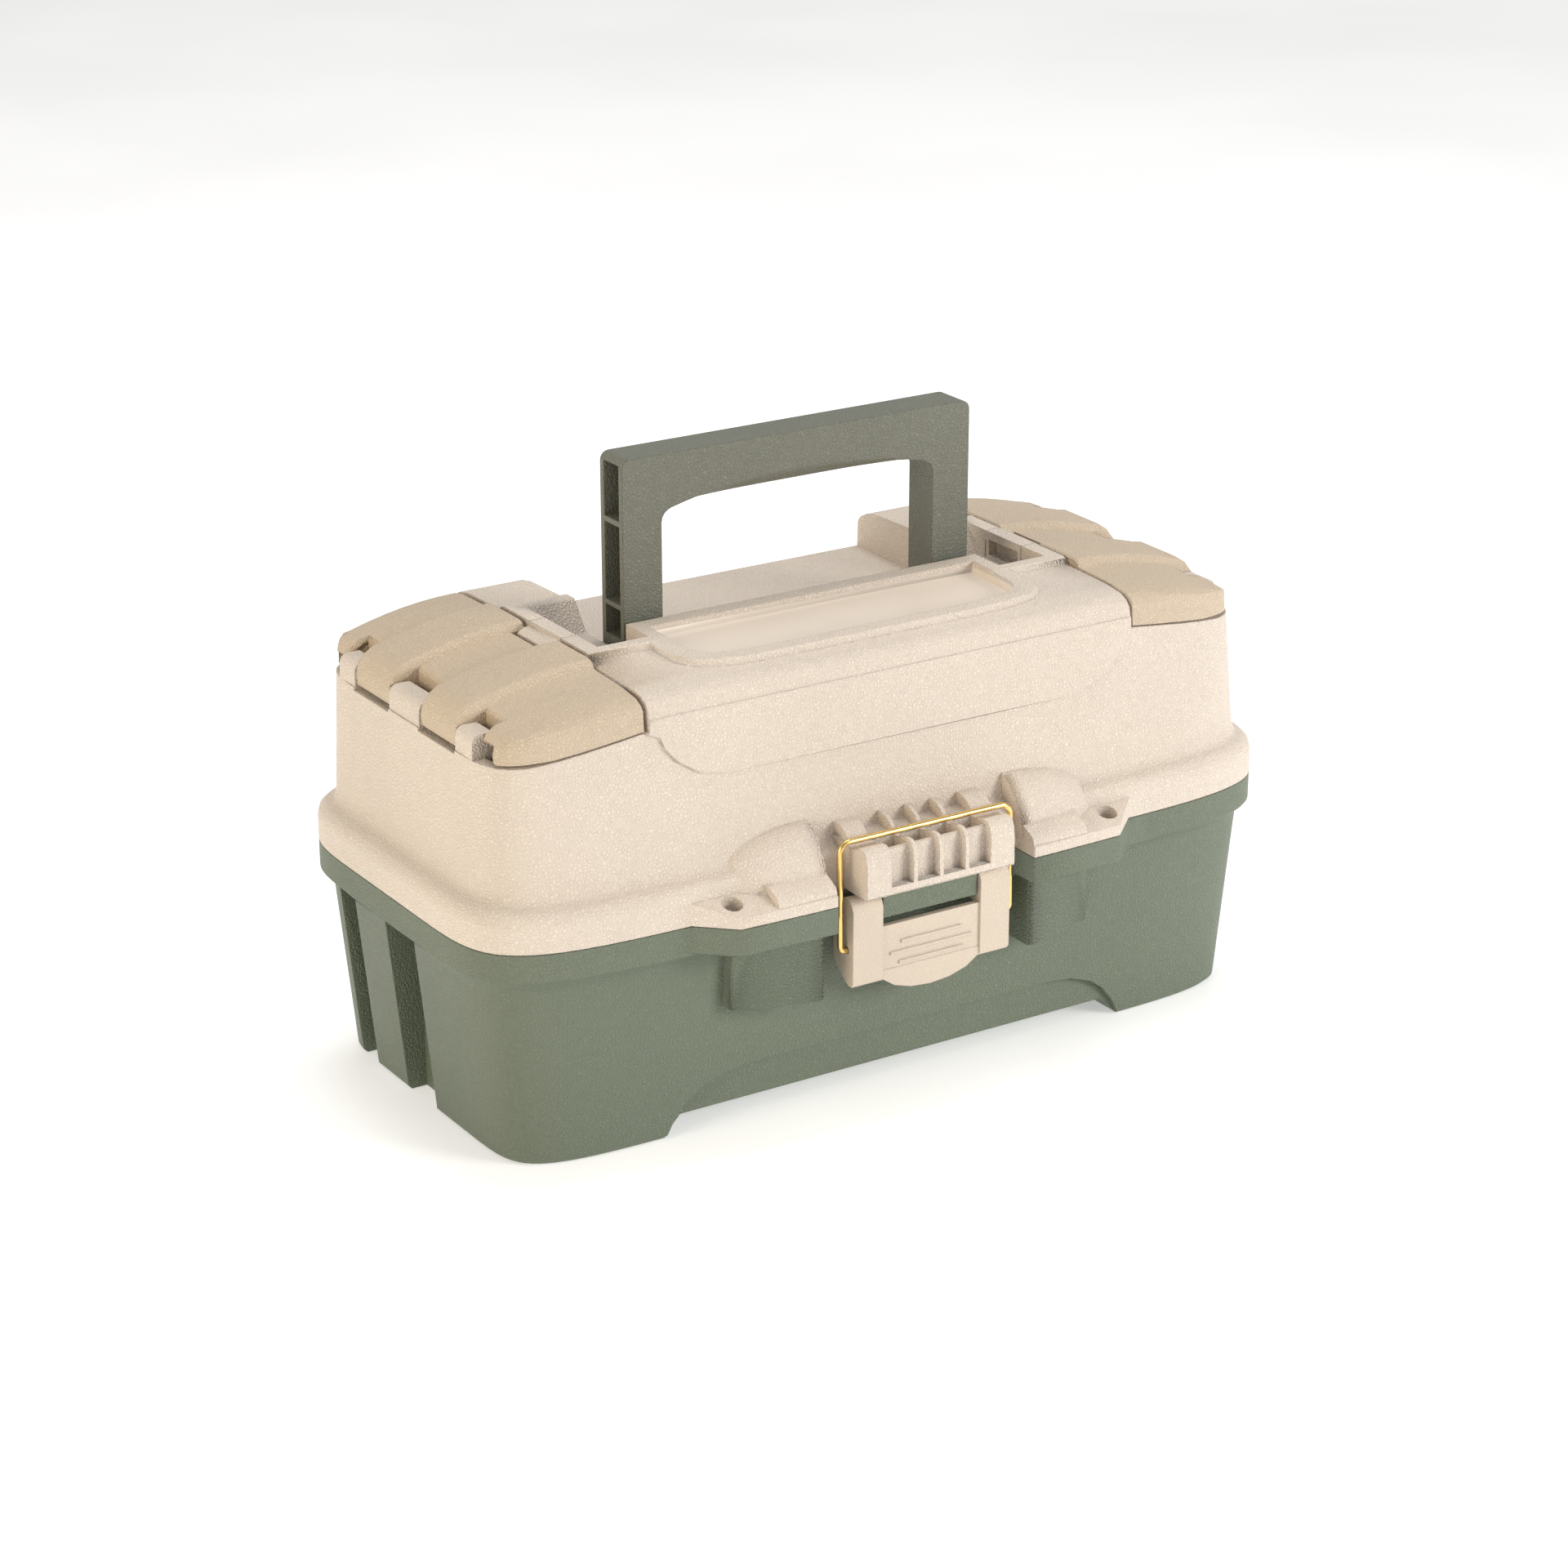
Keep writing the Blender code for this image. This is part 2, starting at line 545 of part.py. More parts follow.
def make_lid(look):
    lid = ring_loft("lid", LID_RINGS)
    keep(lid, prism("crown", "X", CROWN_PROFILE, -250.0, 250.0))
    join(lid, keep(wall_panel(), prism("crown", "X", CROWN_PROFILE, -250.0, 250.0)), label_pad())
    cut(lid, label_well(), *lid_top_cutters())
    cut(lid, *[seat_cutter(side) for side in (-1, 1)])
    join(lid, *lid_flange_details())
    join(lid, catch_block())
    cut(lid, *[bin_cutter(side) for side in (-1, 1)])
    cut(lid, lid_cavity(), seam_trim(LID_BOTTOM_Z - 20.0, LID_BOTTOM_Z))
    for side in (-1, 1):
        ledge = sorted((side * 165.0, side * 190.0))
        cut(lid, *[box("ledge", (ledge[0], low - 0.7, 158.6), (ledge[1], high + 0.7, 190.0))
                   for low, high in RIDGES_Y])
        join(lid, snap_nose(side), *end_tabs(side))
        lug = circle(TRAY_PIVOT, 5.5, 9, 180.0, 180.0)
        lug += [(TRAY_PIVOT[0] + 5.5, BIN_FLOOR_Z - 1.0), (TRAY_PIVOT[0] - 5.5, BIN_FLOOR_Z - 1.0)]
        join(lid, prism("lug", "X", lug, *sorted((side * 163.3, side * 166.8))))
        bore = sorted((side * 150.0, side * 169.0))
        pin_bore = sorted((side * 60.0, side * 93.5))
        cut(lid,
            rod("rivet_bore", "X", TRAY_PIVOT, RIVET_RADIUS + GAP, *bore),
            rod("handle_bore", "X", HANDLE_PIVOT, HANDLE_PIN_RADIUS + GAP, *pin_bore),
            rod("tie_hole", "Z", (side * TIE_HOLE[0], TIE_HOLE[1]), TIE_HOLE[2], 60.0, 120.0))
    join(lid, *hinge_knuckles((KNUCKLE_LID,), (LID_BOTTOM_Z + 0.1, 97.0)))
    cut(lid, *hinge_bores())
    return finish(lid, "lid", look, (0.0, HINGE_Y, HINGE_Z))


# -------------------------------------------------------------------- covers

# Rows along Y: (y, top height, kind of outer end)
COVER_ROWS = (
    (-74.6, 170.6, "corner"), (-73.8, 174.2, "corner"), (-71.6, 176.9, "corner"),
    (-67.8, 178.7, "corner"), (-58.2, 179.9, "corner"), (-51.6, 180.2, "corner"),
    (-51.5, 180.2, "notch"), (-37.5, 180.7, "notch"),
    (-37.1, 181.3, "ridge"), (-36.0, 182.9, "ridge"), (-34.8, 183.7, "ridge"), (-33.0, 184.0, "ridge"),
    (-10.2, 184.0, "ridge"), (-9.4, 183.2, "ridge"), (-9.2, 180.8, "notch"), (16.4, 180.8, "notch"),
    (16.7, 181.4, "ridge"), (17.7, 182.9, "ridge"), (18.8, 183.7, "ridge"), (20.4, 184.0, "ridge"),
    (43.2, 184.0, "ridge"), (44.1, 183.2, "ridge"),
    (44.7, 181.7, "notch"), (58.7, 181.4, "notch"), (58.8, 181.4, "corner"), (66.0, 181.1, "corner"),
    (73.0, 179.7, "corner"), (77.6, 177.4, "corner"), (80.3, 174.0, "corner"), (81.4, 170.8, "corner"),
)
COVER_ENDS = {                 # x where the top starts to turn down, outermost x, z at outermost x
    "ridge": (161.0, 172.4, 165.5),
    "corner": (160.0, 169.4, 164.0),
    "notch": (157.4, 159.6, 172.0),
}
CROWN_DROP = 312.0             # the top falls by (x - inner x) squared over this


def cover_section(y, top, kind, inset):
    """One XZ section of the right-hand cover. inset shrinks it for the hollow underneath."""
    turn_x, end_x, end_z = COVER_ENDS[kind]
    start_x = COVER_INNER_X + inset
    if inset and kind == "ridge":
        turn_x, end_x = 155.0, 158.4
    elif inset:
        turn_x, end_x = turn_x - inset, end_x - inset
    top -= inset

    def height(x):
        return top - (x - COVER_INNER_X) ** 2 / CROWN_DROP

    points = [(start_x, height(start_x) - 0.7)]
    steps = 7
    for i in range(steps):
        x = start_x + 0.7 + (turn_x - start_x - 0.7) * i / (steps - 1)
        points.append((x, height(x)))
    drop = height(turn_x) - end_z
    for degrees in (22.5, 45.0, 67.5, 90.0):
        angle = math.radians(degrees)
        points.append((turn_x + (end_x - turn_x) * math.sin(angle), end_z + drop * math.cos(angle)))
    bottom = 0.0 if inset == 0.0 else -20.0
    points += [(end_x - 0.4, 161.0 + bottom), (150.0, 162.2 + bottom), (start_x, 166.6 + bottom)]
    return [(x, y, z) for x, z in points]


def cover_solid(inset):
    rows = list(COVER_ROWS)
    if inset:
        front = (COVER_ROWS[0][0] + inset, 176.6, "corner")
        rear = (COVER_ROWS[-1][0] - inset, 176.8, "corner")
        rows = [front] + [row for row in rows if -68.0 < row[0] < 73.5] + [rear]
    solid = loft("cover", [cover_section(y, top, kind, inset) for y, top, kind in rows])
    plan = [(z, a - inset, b - inset, power, y)
            for z, a, b, power, y in ((120.0, 176.0, 80.0, 9.5, 2.6), (160.0, 173.0, 77.2, 9.5, 2.7),
                                      (167.0, 172.8, 76.9, 9.5, 3.0), (190.0, 171.3, 75.2, 9.5, 3.2))]
    return keep(solid, ring_loft("plan", plan))


def make_cover(side, look):
    cover = cut(cover_solid(0.0), cover_solid(COVER_THICK))
    slot_x = COVER_ROD_RADIUS + GAP
    cut(cover,
        rod("bore", "Y", COVER_AXIS, COVER_ROD_RADIUS + GAP, -60.0, 70.0),
        box("slot", (COVER_AXIS[0] - slot_x, -60.0, 140.0), (COVER_AXIS[0] + slot_x, 70.0, COVER_AXIS[1])),
        box("snap_notch", (100.0, SNAP_Y[0], 168.0), (119.6, SNAP_Y[1], 190.0)))
    if side < 0:
        cover.data.transform(Matrix.Scale(-1.0, 4, (1.0, 0.0, 0.0)))
        cover.data.flip_normals()
    name = "left_cover" if side < 0 else "right_cover"
    return finish(cover, name, look, (side * COVER_AXIS[0], 0.0, COVER_AXIS[1]))


# -------------------------------------------------------------------- handle

def handle_opening():
    """Front view of the hand opening, its top edge a shallow arc."""
    half = HANDLE_HALF - HANDLE_LEG
    corner = 5.4
    left = circle((-half + corner, GRIP_BOTTOM_Z - corner), corner, 5, 180.0, -90.0)
    right = circle((half - corner, GRIP_BOTTOM_Z - corner), corner, 5, 90.0, -90.0)
    return [(-half, 100.0)] + left + right + [(half, 100.0)]


def grip_scoop(side):
    """The arched relief along one lower edge of the handle's bar."""
    half = HANDLE_HALF - HANDLE_LEG - 4.0
    middle_y = (HANDLE_Y[0] + HANDLE_Y[1]) / 2
    face_y = HANDLE_Y[0] if side < 0 else HANDLE_Y[1]
    sections = []
    for y, rise in ((face_y + side * 1.0, GRIP_SCOOP + 1.0), (face_y, GRIP_SCOOP),
                    (face_y - side * 3.0, 0.55 * GRIP_SCOOP), (middle_y + side * 2.6, 0.2 * GRIP_SCOOP),
                    (middle_y, 0.3)):
        section = [(half, y, GRIP_BOTTOM_Z - 1.0), (-half, y, GRIP_BOTTOM_Z - 1.0)]
        steps = 20
        for i in range(steps + 1):
            part = -1.0 + 2.0 * i / steps
            section.append((half * part, y, GRIP_BOTTOM_Z + rise * (1.0 - part * part) - 0.1))
        sections.append(section)
    return loft("scoop", sections)


def make_handle(look):
    corner = 3.6
    outline = [(-HANDLE_HALF, 150.0)]
    outline += circle((-HANDLE_HALF + corner, HANDLE_TOP_Z - corner), corner, 5, 180.0, -90.0)
    outline += circle((HANDLE_HALF - corner, HANDLE_TOP_Z - corner), corner, 5, 90.0, -90.0)
    outline += [(HANDLE_HALF, 150.0)]
    handle = prism("handle", "Y", outline, *HANDLE_Y)
    cut(handle, prism("opening", "Y", handle_opening(), -40.0, 40.0), grip_scoop(-1), grip_scoop(1))
    side_view = [(HANDLE_Y[0], 300.0), (HANDLE_Y[0], 168.6), (-2.6, 165.8), (0.6, HANDLE_BOTTOM_Z)]
    side_view += circle(HANDLE_PIVOT, HANDLE_Y[1] - HANDLE_PIVOT[0], 6, 270.0, 90.0)
    side_view += [(HANDLE_Y[1], 300.0)]
    keep(handle, prism("side_view", "X", side_view, -120.0, 120.0))
    for side in (-1, 1):
        pocket_x = sorted((side * 66.4, side * 100.0))
        for low, high in ((175.6, 187.4), (189.4, 221.0), (223.2, 245.4)):
            pocket_low = (pocket_x[0], HANDLE_Y[0] + 2.6, low)
            pocket_high = (pocket_x[1], HANDLE_Y[1] - 2.6, high)
            cut(handle, box("pocket", pocket_low, pocket_high))
        bore_x = sorted((side * 60.0, side * 100.0))
        cut(handle, rod("bore", "X", HANDLE_PIVOT, HANDLE_PIN_RADIUS + GAP, *bore_x))
    return finish(handle, "handle", look, (0.0, *HANDLE_PIVOT))


# --------------------------------------------------------------------- latch

def make_lever(look):
    front, centre_front, back = -99.6, -98.7, -96.3
    lever = box("lever", (-LEVER_HALF, centre_front, 54.0), (LEVER_HALF, back, 76.4))
    post = [(front, 55.5), (front, LEVER_Z)]
    post += circle((LEVER_Y, LEVER_Z), 4.6, 9, 160.0, -160.0)
    post += [(LEVER_Y + 4.6, 77.0), (back + 0.4, 75.0), (back + 0.4, 54.0), (front + 1.0, 54.0)]
    cheek = [(front + 1.0, 54.0), (front + 0.6, 77.0), (-89.9, 79.0), (-85.6, 74.5), (-85.6, 63.5),
             (-87.4, 60.0), (-95.0, 54.6)]
    tab = [(-24.0, 58.0), (-22.6, 54.4), (-17.0, 50.6), (-9.0, 48.2), (0.0, 47.4), (9.0, 48.2),
           (17.0, 50.6), (22.6, 54.4), (24.0, 58.0)]
    join(lever, prism("tab", "Y", tab, centre_front - 0.2, back + 0.2))
    for side in (-1, 1):
        join(lever, prism("post", "X", post, *sorted((side * LEVER_WINDOW, side * LEVER_HALF))))
        join(lever, prism("cheek", "X", cheek, *sorted((side * 33.9, side * (LEVER_HALF - 0.05)))))
    for half, z in ((14.0, 68.6), (19.0, 64.3), (15.0, 60.0)):
        join(lever, box("line", (-half, centre_front - 0.7, z - 0.6), (half, back, z + 0.6)))
    cut(lever,
        rod("pin_bore", "X", (LEVER_Y, LEVER_Z), LEVER_PIN_RADIUS + GAP, -34.0, 34.0),
        rod("bail_bore", "X", (BAIL_Y, BAIL_Z), BAIL_RADIUS + GAP, -50.0, -33.0),
        rod("bail_bore", "X", (BAIL_Y, BAIL_Z), BAIL_RADIUS + GAP, 33.0, 50.0))
    return finish(lever, "latch_lever", look, (0.0, LEVER_Y, LEVER_Z))


def bail_path():
    """Half of the bail's centre line, from the end in the lever to the middle of the top bar."""
    bend = 4.5
    low = Vector((BAIL_HALF, BAIL_Y, BAIL_Z))
    top = Vector((BAIL_HALF, *BAIL_TOP))
    rise = (top - low).normalized()
    inward = Vector((-1.0, 0.0, 0.0))
    points = [Vector((34.6, BAIL_Y, BAIL_Z))]
    for corner, before, after, radius in ((low, -inward, rise, 2.4), (top, rise, inward, bend)):
        start = corner - before * radius
        for i in range(6):
            angle = math.radians(90.0 * i / 5)
            points.append(start + before * radius * math.sin(angle) + after * radius * (1.0 - math.cos(angle)))
    return points


def make_bail(look):
    half = bail_path()
    path = half + [Vector((-p.x, p.y, p.z)) for p in reversed(half)]
    rings = []
    sides = 10
    for i, point in enumerate(path):
        ahead = path[min(i + 1, len(path) - 1)] - path[max(i - 1, 0)]
        tangent = ahead.normalized()
        across = Vector((0.0, 1.0, 0.0)).cross(tangent).normalized()
        up = tangent.cross(across)
        angles = [2 * math.pi * k / sides for k in range(sides)]
        rings.append([point + (across * math.cos(a) + up * math.sin(a)) * BAIL_RADIUS for a in angles])
    return finish(loft("bail", rings), "latch_bail", look, (0.0, BAIL_Y, BAIL_Z))


# ------------------------------------------------------------- tray and arms

def rounded_rectangle(half_x, low_y, high_y, radius, z):
    points = []
    corners = ((half_x - radius, high_y - radius, 0.0), (-half_x + radius, high_y - radius, 90.0),
               (-half_x + radius, low_y + radius, 180.0), (half_x - radius, low_y + radius, 270.0))
    for x, y, start in corners:
        points += [(u, v, z) for u, v in circle((x, y), radius, 6, start, 90.0)]
    return points


def tray_solid(inset, floor, top):
    """The tray's drafted outer shape, or its hollow when inset."""
    low = rounded_rectangle(TRAY_HALF - 3.0 - inset, TRAY_Y[0] + 4.0 + inset, TRAY_Y[1] - 4.0 - inset,
                            12.0 - inset, floor)
    high = rounded_rectangle(TRAY_HALF - inset, TRAY_Y[0] + inset, TRAY_Y[1] - inset, 13.0 - inset, top)
    return loft("tray", [low, high])


def make_tray(look):
    tray = cut(tray_solid(0.0, *TRAY_Z), tray_solid(TRAY_WALL, TRAY_Z[0] + TRAY_WALL, TRAY_Z[1] + 0.01))
    floor = TRAY_Z[0] + 1.0
    rib = prism("rib", "X", ((RIB_Y - 1.2, floor), (RIB_Y + 1.2, floor), (RIB_Y + 0.8, TRAY_Z[1] - 2.0),
                             (RIB_Y - 0.8, TRAY_Z[1] - 2.0)), -TRAY_HALF + 3.0, TRAY_HALF - 3.0)
    join(tray, rib)
    for x in (-52.0, 52.0):
        join(tray, box("rib", (x - 0.9, TRAY_Y[0] + 3.0, floor), (x + 0.9, RIB_Y, TRAY_Z[1] - 3.0)))
    for x in DIVIDERS_X:
        for offset in (-2.1, 2.1):
            for low, high in ((RIB_Y, RIB_Y + 3.2), (TRAY_Y[1] - 8.4, TRAY_Y[1] - 2.8)):
                join(tray, box("guide", (x + offset - 0.7, low, floor), (x + offset + 0.7, high, 84.0)))
    for side in (-1, 1):
        ear = circle(TRAY_PIVOT, 5.0, 9, 0.0, 180.0)
        ear += [(TRAY_PIVOT[0] - 5.0, 80.0), (TRAY_PIVOT[0] + 5.0, 80.0)]
        ends = sorted((side * 155.0, side * (TRAY_HALF - 0.05)))
        join(tray, prism("ear", "X", ear, *ends))
        boss = circle(ARM_TRAY, 5.0, 9, 0.0, 180.0)
        boss += [(ARM_TRAY[0] - 5.0, 76.0), (ARM_TRAY[0] + 5.0, 76.0)]
        join(tray, prism("boss", "X", boss, *ends))
        bore_x = sorted((side * 150.0, side * 165.0))
        cut(tray,
            rod("bore", "X", TRAY_PIVOT, RIVET_RADIUS + GAP, *bore_x),
            rod("bore", "X", ARM_TRAY, RIVET_RADIUS + GAP, *bore_x))
    return finish(tray, "tray", look, (0.0, *TRAY_PIVOT))


def make_divider(index, x, look):
    low_y, high_y = RIB_Y + 1.6, TRAY_Y[1] - 6.8
    slope = 3.6
    outline = ((low_y, 53.0), (high_y - slope + 0.4, 53.0), (high_y + 0.2, 85.0), (low_y - 0.1, 85.0))
    plate = prism("divider", "X", outline, x - 0.9, x + 0.9)
    return finish(plate, f"tray_divider_{index}", look, (x, RIB_Y, 53.0))


def make_arm(side, look):
    along = math.degrees(math.atan2(ARM_TRAY[1] - ARM_BASE[1], ARM_TRAY[0] - ARM_BASE[0]))
    outline = circle(ARM_TRAY, ARM_HALF_WIDTH, 9, along - 90.0, 180.0)
    outline += circle(ARM_BASE, ARM_HALF_WIDTH, 9, along + 90.0, 180.0)
    arm = prism("arm", "X", outline, *sorted((side * ARM_X[0], side * ARM_X[1])))
    bore_x = sorted((side * 150.0, side * 165.0))
    cut(arm, rod("bore", "X", ARM_BASE, RIVET_RADIUS + GAP, *bore_x),
        rod("bore", "X", ARM_TRAY, RIVET_RADIUS + GAP, *bore_x))
    name = "left_tray_arm" if side < 0 else "right_tray_arm"
    return finish(arm, name, look, (side * ARM_X[0], *ARM_BASE))


def make_rivet(name, side, centre, stations, look):
    placed = [(side * x, radius) for x, radius in stations]
    return finish(turned(name, centre, placed), name, look, (0.0, *centre))


def make_rivets(side, look):
    word = "left" if side < 0 else "right"
    base = ((156.9, RIVET_HEAD - 0.6), (157.4, RIVET_HEAD), (158.2, RIVET_HEAD), (158.2, RIVET_RADIUS),
            (169.0, RIVET_RADIUS))
    tray = ((153.6, RIVET_HEAD - 0.6), (154.0, RIVET_HEAD), (154.7, RIVET_HEAD), (154.7, RIVET_RADIUS),
            (160.8, RIVET_RADIUS), (160.8, RIVET_HEAD), (161.6, RIVET_HEAD), (162.0, RIVET_HEAD - 0.6))
    lid = ((153.6, RIVET_HEAD - 0.6), (154.0, RIVET_HEAD), (154.7, RIVET_HEAD), (154.7, RIVET_RADIUS),
           (157.8, RIVET_RADIUS), (157.8, RIVET_HEAD), (163.0, RIVET_HEAD), (163.0, RIVET_RADIUS),
           (167.1, RIVET_RADIUS), (167.1, RIVET_HEAD), (167.9, RIVET_HEAD), (168.2, RIVET_HEAD - 0.6))
    make_rivet(f"{word}_arm_rivet", side, ARM_BASE, base, look)
    make_rivet(f"{word}_tray_rivet", side, ARM_TRAY, tray, look)
    make_rivet(f"{word}_lid_rivet", side, TRAY_PIVOT, lid, look)


def make_pins(look):
    for word, side in (("left", -1), ("right", 1)):
        middle = side * HINGE_X
        pin = rod("pin", "X", (HINGE_Y, HINGE_Z), HINGE_PIN_RADIUS, middle - 25.6, middle + 25.6, 14)
        finish(pin, f"{word}_hinge_pin", look, (middle, HINGE_Y, HINGE_Z))
        ends = sorted((side * 67.0, side * 93.0))
        pin = rod("pin", "X", HANDLE_PIVOT, HANDLE_PIN_RADIUS, *ends, 16)
        finish(pin, f"{word}_handle_pin", look, (side * 80.0, *HANDLE_PIVOT))
    pin = rod("pin", "X", (LEVER_Y, LEVER_Z), LEVER_PIN_RADIUS, -33.4, 33.4, 14)
    finish(pin, "latch_pin", look, (0.0, LEVER_Y, LEVER_Z))


def main():
    clear_scene()
    tan = material("tan_plastic", (0.80, 0.70, 0.58), 0.5)
    cover_tan = material("cover_plastic", (0.72, 0.62, 0.50), 0.5)
    green = material("green_plastic", (0.17, 0.22, 0.14), 0.5)
    handle_green = material("handle_plastic", (0.13, 0.155, 0.115), 0.5)
    tray_tan = material("tray_plastic", (0.76, 0.68, 0.56), 0.45)
    brass = material("brass_wire", (0.85, 0.62, 0.25), 0.25, 1.0)
    steel = material("pin_steel", (0.6, 0.6, 0.6), 0.35, 1.0)
    make_base(green)
    make_lid(tan)
    for side in (-1, 1):
        make_cover(side, cover_tan)
        make_arm(side, steel)
        make_rivets(side, steel)
    make_handle(handle_green)
    make_lever(tan)
    make_bail(brass)
    make_tray(tray_tan)
    for index, x in enumerate(DIVIDERS_X, 1):
        make_divider(index, x, tray_tan)
    make_pins(steel)


main()
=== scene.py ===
"""Looks of the tackle box: moulded plastic with a fine leather grain, brass wire and steel pins.

Each CAD node gets a visual piece made from its own mesh, with a procedural material.
"""
import json
import math

import bmesh
import bpy
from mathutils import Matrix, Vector

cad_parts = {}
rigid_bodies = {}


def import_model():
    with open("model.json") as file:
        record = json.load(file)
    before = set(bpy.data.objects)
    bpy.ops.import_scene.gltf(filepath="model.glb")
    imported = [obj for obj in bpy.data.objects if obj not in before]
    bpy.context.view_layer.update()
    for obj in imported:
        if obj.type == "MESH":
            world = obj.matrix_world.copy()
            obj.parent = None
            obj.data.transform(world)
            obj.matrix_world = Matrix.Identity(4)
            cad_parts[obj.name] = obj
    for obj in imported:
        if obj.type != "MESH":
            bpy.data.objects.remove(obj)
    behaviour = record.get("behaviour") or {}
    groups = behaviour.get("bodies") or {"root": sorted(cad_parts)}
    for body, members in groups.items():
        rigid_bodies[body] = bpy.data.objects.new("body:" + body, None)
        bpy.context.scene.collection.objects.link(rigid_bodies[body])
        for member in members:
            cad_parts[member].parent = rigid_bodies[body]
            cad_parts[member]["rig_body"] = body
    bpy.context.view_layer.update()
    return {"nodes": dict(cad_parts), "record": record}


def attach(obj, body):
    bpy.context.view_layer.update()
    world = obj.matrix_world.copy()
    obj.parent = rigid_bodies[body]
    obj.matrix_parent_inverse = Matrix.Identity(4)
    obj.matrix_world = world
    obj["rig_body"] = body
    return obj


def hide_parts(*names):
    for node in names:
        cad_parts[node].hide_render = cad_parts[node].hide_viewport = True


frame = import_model()
SHIFT = Vector((0.0, 0.0032, 0.0))          # the body's middle lies this far behind the frame's origin

# Camera of the photograph: angles in degrees, place in metres from the body's middle
CAMERA_AZIMUTH = -32.466
CAMERA_ELEVATION = 21.177
CAMERA_PLACE = Vector((-0.80114, -1.25171, 0.67408)) + SHIFT
CAMERA_LENS = 90.27

# Linear colours
TAN = (0.735, 0.640, 0.545)
LEVER_TAN = (0.60, 0.51, 0.41)
COVER_TAN = (0.62, 0.505, 0.375)
GREEN = (0.152, 0.180, 0.126)
HANDLE_GREEN = (0.160, 0.165, 0.128)
TRAY_TAN = (0.70, 0.60, 0.48)
BRASS = (0.83, 0.58, 0.22)
STEEL = (0.58, 0.58, 0.57)
LABEL_FLOOR = ((-0.0772, -0.0520, 0.1750), (0.0772, -0.0115, 0.1818))   # polished, in metres

# Leather grain and edges
GRAIN_CELLS = 690.0                         # cells per metre, about 1.45 mm from cell to cell
GRAIN_DEPTH = 0.0007
GRAIN_STRENGTH = 0.65
GRAIN_WARP = 0.0014
WIRE_LINES = 900.0                          # drawing lines per metre

# Shading: edges sharper than this many degrees stay sharp
SHARP_ANGLE = 36.0
SHARP_ANGLES = {"handle": 24.0, "left_cover": 27.0, "right_cover": 27.0, "base": 34.0}
NORMAL_WEIGHT = 80
WELD_DISTANCE = 0.000008
FLAT_DEGREES = 0.4                          # neighbouring faces closer than this become one face

# Studio: floor and lights. Each light is (name, place, size, watts, colour)
FLOOR_SIZE = 60.0
FLOOR_Z = -0.0003
FLOOR_TONES = ((0.88, 0.88, 0.88), (0.92, 0.92, 0.92))
FLOOR_GLOW = 0.42
WORLD_STRENGTH = 0.42
LIGHT_TARGET = (0.0, 0.0, 0.1)
LIGHTS = (
    ("top", (0.2, 0.3, 1.8), (1.0, 0.8), 15.0, (1.0, 1.0, 1.0)),
    ("left", (-1.8, -0.3, 0.7), (0.9, 0.9), 16.0, (1.0, 0.86, 0.64)),
    ("front", (1.3, -1.7, 0.8), (0.9, 0.7), 32.0, (1.0, 0.98, 0.96)),
)


# --------------------------------------------------------------- node tools

class Graph:
    """A short way to add shader nodes and links."""

    def __init__(self, name):
        self.material = bpy.data.materials.new(name)
        self.material.use_nodes = True
        self.tree = self.material.node_tree
        self.shader = self.tree.nodes["Principled BSDF"]
        self.coordinates = self.tree.nodes.new("ShaderNodeTexCoord").outputs["Object"]

    def add(self, kind, **settings):
        node = self.tree.nodes.new(kind)
        for key, value in settings.items():
            setattr(node, key, value)
        return node

    def put(self, source, target):
        """Link a socket, or set a plain value."""
        if isinstance(source, bpy.types.NodeSocket):
            self.tree.links.new(source, target)
        else:
            target.default_value = source

    def math(self, operation, a, b=0.0, c=0.0):
        node = self.add("ShaderNodeMath", operation=operation)
        for socket, value in zip(node.inputs, (a, b, c)):
            self.put(value, socket)
        return node.outputs[0]

    def noise(self, scale, detail=2.0, roughness=0.5, vector=None):
        node = self.add("ShaderNodeTexNoise")
        self.put(vector or self.coordinates, node.inputs["Vector"])
        node.inputs["Scale"].default_value = scale
        node.inputs["Detail"].default_value = detail
        node.inputs["Roughness"].default_value = roughness
        return node.outputs["Fac"]

    def cells(self, scale, vector):
        """Distance to the nearest cell border."""
        node = self.add("ShaderNodeTexVoronoi", feature="DISTANCE_TO_EDGE")
        self.put(vector, node.inputs["Vector"])
        node.inputs["Scale"].default_value = scale
        return node.outputs["Distance"]

    def ramp(self, value, low, high):
        """A smooth step from 0 at low to 1 at high."""
        node = self.add("ShaderNodeMapRange", interpolation_type="SMOOTHSTEP")
        self.put(value, node.inputs["Value"])
        node.inputs["From Min"].default_value = low
        node.inputs["From Max"].default_value = high
        return node.outputs["Result"]

    def mix(self, factor, a, b):
        node = self.add("ShaderNodeMix", data_type="RGBA")
        self.put(factor, node.inputs["Factor"])
        for value, index in ((a, 6), (b, 7)):
            self.put(value if isinstance(value, bpy.types.NodeSocket) else (*value, 1.0), node.inputs[index])
        return node.outputs[2]


